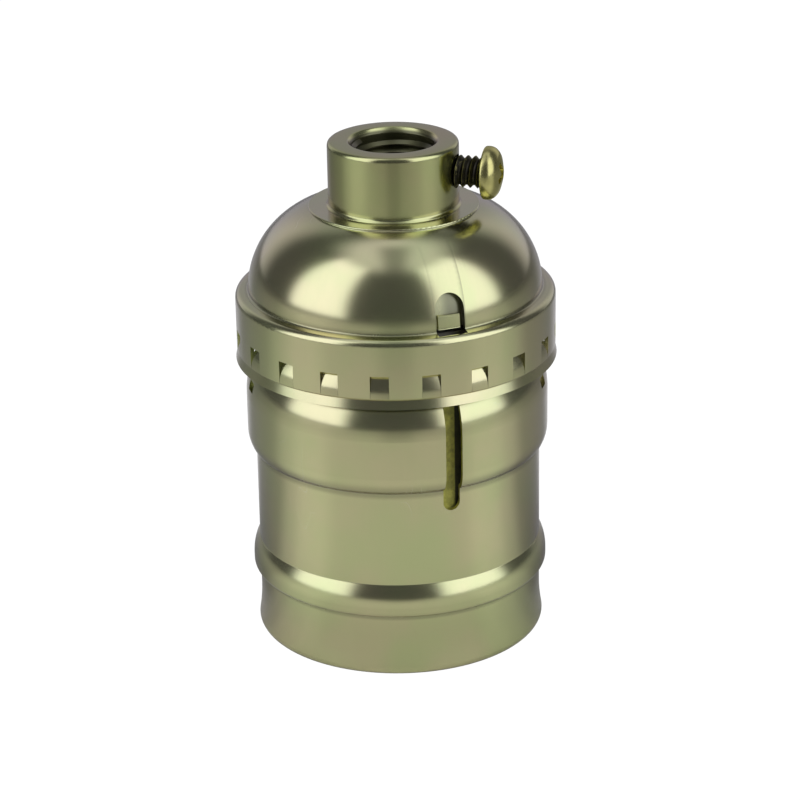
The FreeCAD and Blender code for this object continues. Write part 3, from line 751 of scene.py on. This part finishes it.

# %% [markdown]
# The fibre sleeve keeps the live parts from the shell, and shows through the long slot as a
# rough green strip. Vulcanised fibre is paper: it has short fibres, a mottled dye and no gloss.
# Behind the slot a near-black stripe is painted on the sleeve: the shadow that the slot's right edge
# casts on it.

# %% Vulcanised fibre
def fibre(name, dye):
    material, tree = new_material(name)
    position, x, y, z, radius = place_on(tree)
    strands = tree.noise(tree.join(x / radius, y / radius, z * 25), 55, 4.0, 0.7)
    mottle = tree.noise(position, 520, 4.0, 0.65)
    fluff = tree.noise(position, 3000, 2.0)
    flecks = specks(tree, position, 1200, 0.22, 0.12)
    deep, light = [value * 0.62 for value in dye], [value * 1.2 for value in dye]
    colour = tree.mix(mottle.rise(0.35, 0.68), deep, light)
    colour = tree.mix(flecks * 0.55, colour, (0.55, 0.60, 0.30))
    out, side = slot_frame(x, y)
    # Painted shadow: a near-black stripe on the sleeve beside the slot's middle, where the slot's edge
    # shades it.
    painted_slot_shadow = side.band(0.72, 0.92, 4.0, 4.2, MM) * out.rise(0, 1 * MM)
    colour = tree.mix(painted_slot_shadow * 0.93, colour, (0.012, 0.012, 0.008))
    haze = 0.62 + mottle * 0.25
    principled(tree, colour, haze, 0.0, strands * 1.4 + mottle * 2.2 + fluff * 0.5, 0.05 * MM)
    return material


nodes["insulating_sleeve"].data.materials[0] = fibre("green_fibre", (0.56, 0.55, 0.12))
print("fibre on the sleeve")

# %% [markdown]
# The block is pressed porcelain with a thin clear glaze. The glaze pools in the corners and is
# wiped off the ledge that rests on the sleeve; small dark specks are iron in the clay. The
# notch that the key pocket stands in is painted with dark grey shade, where it lies in shadow
# behind the pocket's slit.

# %% Porcelain
def porcelain():
    material, tree = new_material("glazed_porcelain")
    position, x, y, z, radius = place_on(tree)
    cloud = tree.noise(position, 130, 4.0)
    grain = tree.noise(position, 1700, 3.0)
    iron = specks(tree, position, 620, 0.13, 0.06)
    bare = radius.rise(15.95 * MM, 16.25 * MM) * z.rise(36.4 * MM, 36.1 * MM)
    colour = tree.mix(cloud.rise(0.3, 0.7), (0.80, 0.78, 0.72), (0.74, 0.71, 0.64))
    colour = tree.mix(iron * 0.7, colour, (0.20, 0.14, 0.09))
    colour = tree.mix(bare, colour, (0.70, 0.66, 0.58))
    out, side = slot_frame(x, y)
    # Painted shade: the notch is darkened nearly to black where it lies behind the key pocket's slit.
    in_notch = abs(side).rise(3.6 * MM, 3.3 * MM) * z.rise(42.0 * MM, 42.8 * MM)
    notch_shade = in_notch * out.rise(12.5 * MM, 13.2 * MM)
    colour = tree.mix(notch_shade * 0.8, colour, (0.10, 0.09, 0.075))
    haze = 0.22 + cloud * 0.08 + bare * 0.5
    principled(tree, colour, haze, 0.0, cloud * 3 + grain * (0.15 + bare), 0.03 * MM,
               Coat_Weight=1 - bare, Coat_Roughness=0.08)
    return material


nodes["porcelain_block"].data.materials[0] = porcelain()
print("porcelain on the block")

# %% [markdown]
# The contact leaf and the two terminals are stamped from brass strip, so rolling lines run along
# them and the brass has browned a little. Screws and washers are zinc-plated steel, and the
# rivets soft aluminium, dull from the rivet set.

# %% Small metal parts
def strip_metal(name, bright, dull, roughness, run, metallic=1.0):
    """Rolled strip or plated wire: lines along `run`, stains, small pits."""
    material, tree = new_material(name)
    position, x, y, z, _ = place_on(tree)
    stretch = [900 if axis != run else 40 for axis in range(3)]
    lines = tree.noise(tree.join(x * stretch[0], y * stretch[1], z * stretch[2]), 4.0, 3.0)
    stain = tree.noise(position, 330, 4.0, 0.6)
    pits = specks(tree, position, 1100, 0.14, 0.05)
    colour = tree.mix(stain.rise(0.42, 0.7), bright, dull)
    colour = tree.mix(pits * 0.6, colour, [value * 0.3 for value in dull])
    haze = roughness + stain.rise(0.42, 0.8) * 0.2 + lines * 0.06 + pits * 0.2
    principled(tree, colour, haze, metallic, lines * 0.8 + stain - pits, 0.006 * MM)
    return material


brass = strip_metal("contact_brass", (0.78, 0.60, 0.25), (0.46, 0.31, 0.13), 0.24, 0)
zinc = strip_metal("zinc_plated_steel", (0.68, 0.69, 0.70), (0.55, 0.53, 0.44), 0.26, 2)
dull_rivet = strip_metal("rivet_aluminium", (0.72, 0.72, 0.71), (0.50, 0.50, 0.49), 0.38, 2)
for name, metal in {"centre_contact": brass, "live_terminal": brass, "neutral_terminal": brass,
                    "contact_rivet": brass, "neutral_washer": zinc, "live_washer": zinc,
                    "neutral_rivet": dull_rivet, "shell_rivet": dull_rivet}.items():
    nodes[name].data.materials[0] = metal
print("brass, zinc and rivet finishes set")

# %% [markdown]
# The two binding screws are alike, so one function turns, slots and threads both, each at the
# place of its node.

# %% The terminal screws
binding_core, binding_head, binding_head_height, saw_half_width, saw_depth = 1.4, 3.2, 2.0, 0.4, 1.0


def binding_screw(name, node, body_name):
    """A slotted screw with a real thread, at the place of its node."""
    low, high = [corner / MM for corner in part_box(node)]
    centre = (low.x + high.x) / 2
    seat = high.z - binding_head_height
    screw = lathe(name, rounded([
        (0, low.z), (1.1, low.z, 0.05), (binding_core, low.z + 0.4, 0.05), (binding_core, seat, 0.05),
        (binding_head, seat, 0.12), (binding_head, seat + 1.05, 0.3), (2.4, high.z, 0.5), (0, high.z)],
        0.1), 96)
    screw.data.materials.append(zinc)
    slot = bpy.data.objects.new("slot", bpy.data.meshes.new("slot"))
    bpy.context.scene.collection.objects.link(slot)
    corners = [(x, y, z) for x in (-4, 4) for y in (-saw_half_width, saw_half_width)
               for z in (high.z - saw_depth, high.z + 1)]
    sides = [(0, 1, 3, 2), (4, 6, 7, 5), (0, 4, 5, 1), (2, 3, 7, 6), (0, 2, 6, 4), (1, 5, 7, 3)]
    slot.data.from_pydata([Vector(corner) * MM for corner in corners], [], sides)
    slot.data.materials.append(zinc)
    outwards(slot)
    cut(screw, slot)
    ridge = thread(name + "_thread", zinc, 1.36, 0.7, low.z + 0.3, seat - 0.1, 0.34)
    screw = merged(name, [screw, ridge])
    screw.data.transform(Matrix.Translation((centre * MM, 0, 0)))
    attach(screw, body_name)
    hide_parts(node)
    return screw


binding_screw("neutral_screw_threaded", "neutral_screw", "neutral_binding_screw")
binding_screw("live_screw_threaded", "live_screw", "live_binding_screw")

# %% [markdown]
# Polished metal shows the room more than itself, so the room is half of the finish. The holder
# stands in a small light tent: a bright panel on each side with soft edges, a paler roof, a white
# sweep behind, and dark gaps between them. The world paints all of these by direction for
# reflections, and is plain white to the camera. `azimuth` runs from the front towards +X.

# %% The light tent
world = bpy.data.worlds.new("light_tent")
bpy.context.scene.world = world
world.use_nodes = True
world.node_tree.nodes.clear()
sky = Tree(world.node_tree)
dx, dy, dz = sky.split(sky.add("ShaderNodeTexCoord", output="Generated"))
azimuth = dx.angle_from(-1 * dy) * (180 / math.pi)
elevation = dz.angle_from((dx * dx + dy * dy).root()) * (180 / math.pi)
tall = elevation.band(-30, -20, 56, 70)
left_panel = azimuth.band(-94, -82, -45, -33) * tall
right_panel = azimuth.band(26, 38, 80, 92) * tall
roof = elevation.rise(54, 74)
gap = abs(dx).rise(0.18, 0.05) * dy.rise(0.35, 0.05) * 0.75
sweep = dy.rise(0.48, 0.80) * (1 - roof) * (0.7 + abs(dx).rise(0.15, 0.55) * 0.55)
dark, panel_light, roof_light, sweep_light, matt_light = 0.085, 1.45, 0.70, 0.44, 0.13
panels = (left_panel + right_panel) * panel_light
room = dark + panels + roof * (1 - gap) * roof_light + sweep * sweep_light
room_colour = sky.mix(sweep, (0.96, 0.97, 1.12), (0.93, 0.90, 1.0))
tent = sky.add("ShaderNodeBackground", None, {"Color": room_colour, "Strength": room})
white = sky.add("ShaderNodeBackground", None, {"Color": (1, 1, 1, 1), "Strength": 1.0})
fill = sky.add("ShaderNodeBackground", None, {"Color": (1, 1, 1, 1), "Strength": matt_light})
to_matt = sky.add("ShaderNodeLightPath", output="Is Diffuse Ray")
to_eye = sky.add("ShaderNodeLightPath", output="Is Camera Ray")
lit = sky.add("ShaderNodeMixShader", None, {0: to_matt, 1: tent, 2: fill})
sky.finish(sky.add("ShaderNodeMixShader", None, {0: to_eye, 1: lit, 2: white}), "ShaderNodeOutputWorld")
print("light tent painted")

# %% [markdown]
# Matt surfaces and the table take their light from two lamps at the same sides, which metal does
# not see. Each throws a soft shadow of the holder over the table towards the other side, and the
# upright walls mirror those shadows as darker bands near their edges.

# %% The lamps
def lamp(name, azimuth, elevation, distance, size, strength):
    """A lit square that faces the holder, for matt surfaces alone."""
    light = bpy.data.lights.new(name, "AREA")
    light.shape, light.size = "SQUARE", size
    light.energy = strength * math.pi * size * size
    piece = bpy.data.objects.new(name, light)
    bpy.context.scene.collection.objects.link(piece)
    around, up = math.radians(azimuth), math.radians(elevation)
    out = Vector((math.sin(around) * math.cos(up), -math.cos(around) * math.cos(up), math.sin(up)))
    piece.location = Vector((0, 0, 35 * MM)) + out * distance
    piece.rotation_mode = "QUATERNION"
    piece.rotation_quaternion = (-out).to_track_quat("-Z", "Y")
    piece.visible_glossy = False


lamp("left_lamp", azimuth=-66, elevation=36, distance=0.5, size=0.36, strength=4.0)
lamp("right_lamp", azimuth=62, elevation=36, distance=0.5, size=0.36, strength=3.2)

# %% [markdown]
# The table is one large pale sheet. To the camera it is nearly white, and it keeps a trace of
# the contact shadow. In the metal it shows lit by the lamps, which is what gives the upright
# walls their even tone, and its tone carries painted light and shade as well: `facing` is the
# angle from the front, and painted shadows lie at each side, a little behind.

# %% The table
reach = 3.0
table_mesh = bpy.data.meshes.new("table")
table_corners = [(-reach, -reach, 0), (reach, -reach, 0), (reach, reach, 0), (-reach, reach, 0)]
table_mesh.from_pydata(table_corners, [], [(0, 1, 2, 3)])
table = bpy.data.objects.new("table", table_mesh)
bpy.context.scene.collection.objects.link(table)
paper, paper_tree = new_material("pale_table")
place, over, along, _, distance = place_on(paper_tree)
texture = paper_tree.noise(place, 900, 2.0)
facing = abs(over.angle_from(-1 * along)) * (180 / math.pi)
# Painted light: the table's tone fades with distance, as a pool of light round the holder.
pool = distance.rise(45 * MM, 190 * MM) * 0.40
# Painted shadows at each side, a little behind the holder.
painted_side_shade = facing.band(84, 102, 132, 152) * distance.rise(19 * MM, 26 * MM) * 0.45
# Painted shadow in front, towards the camera.
camera_shade = facing.rise(16, 6) * distance.rise(95 * MM, 130 * MM) * 0.3
# Painted shade at the holder's foot.
foot = distance.rise(50 * MM, 24 * MM) * 0.22
paler = (1 - pool) * (1 - painted_side_shade) * (1 - camera_shade) * (1 - foot)
# Painted light: brighter beams towards the lamps' sides and behind.
beams = 1 + facing.band(42, 58, 72, 84) * 0.2 + facing.rise(134, 154) * 0.22
tone = paper_tree.mix((texture * 0.16 + paler * 0.64) * beams, (0.0, 0.0, 0.0), (0.94, 0.94, 0.925))
matt = paper_tree.add("ShaderNodeBsdfPrincipled", None, {"Base Color": tone, "Roughness": 0.8})
camera_white, camera_share = 1.13, 0.9
glow = paper_tree.add("ShaderNodeEmission", None, {"Color": (1, 1, 1, 1), "Strength": camera_white})
to_camera = paper_tree.add("ShaderNodeLightPath", output="Is Camera Ray")
shown = {0: to_camera * camera_share, 1: matt, 2: glow}
paper_tree.finish(paper_tree.add("ShaderNodeMixShader", None, shown))
table_mesh.materials.append(paper)
table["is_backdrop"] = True
print("table laid")

# %% [markdown]
# The last cell prints how far the size of the dressed holder differs from that of the frame's
# own solids, and sets the view transform.

# %% Sizes and the last line
bpy.context.scene.view_settings.view_transform = "Standard"
visual_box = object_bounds()
gaps = [round((b - a) / MM, 3) for low, high in zip(cad_box, visual_box) for a, b in zip(low, high)]
print("sizes differ by", gaps, "mm")
